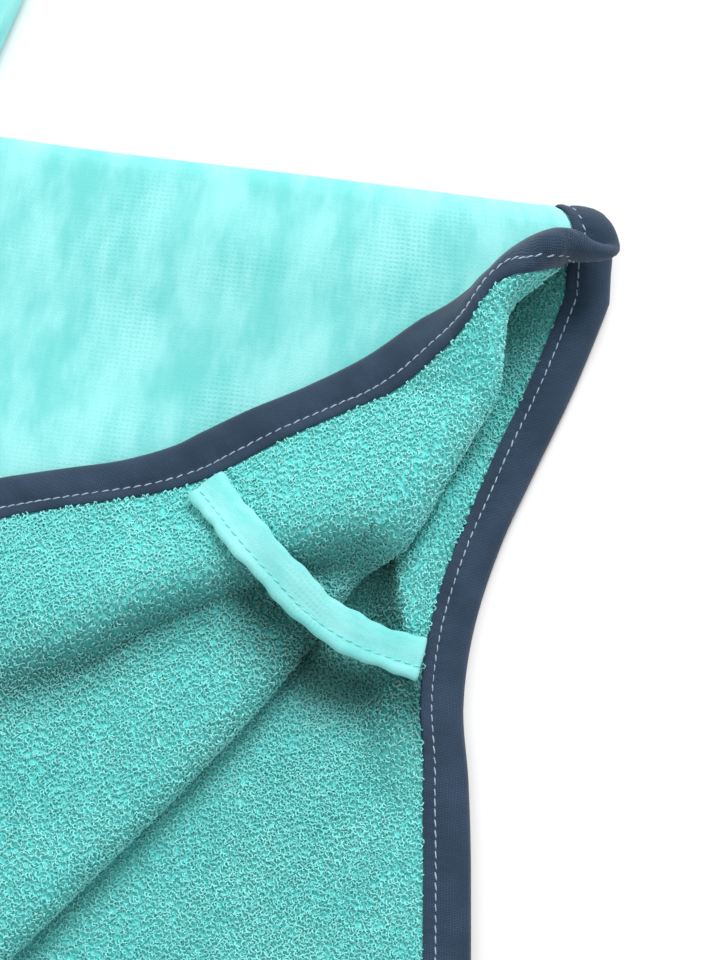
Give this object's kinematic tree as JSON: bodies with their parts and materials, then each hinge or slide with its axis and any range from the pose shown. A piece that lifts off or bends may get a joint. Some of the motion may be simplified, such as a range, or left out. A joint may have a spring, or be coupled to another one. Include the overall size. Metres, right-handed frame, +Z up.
{
  "type": "hooded bath poncho",
  "caption": "Hooded bath poncho of looped terry with a velour outside, bound edges and side straps, laid flat with one side of the front turned back.",
  "frame": {"origin": "middle of the part's outline on the surface it lies on", "axes": "+Z up out of the surface, +Y from the hem to the hood, +X to the side that is turned back"},
  "size_m": [0.6396, 0.8526, 0.0316],
  "materials": {
    "terry_velour": "napped velour outside, looped terry inside",
    "binding": "plain woven cotton, matt",
    "strap": "napped velour"
  },
  "bodies": {
    "root": {"body": "terry_velour", "body_binding": "binding", "hood_left": "terry_velour", "hood_right": "terry_velour", "hood_binding": "binding", "side_strap_left": "strap", "side_strap_right": "strap"}
  },
  "joints": []
}
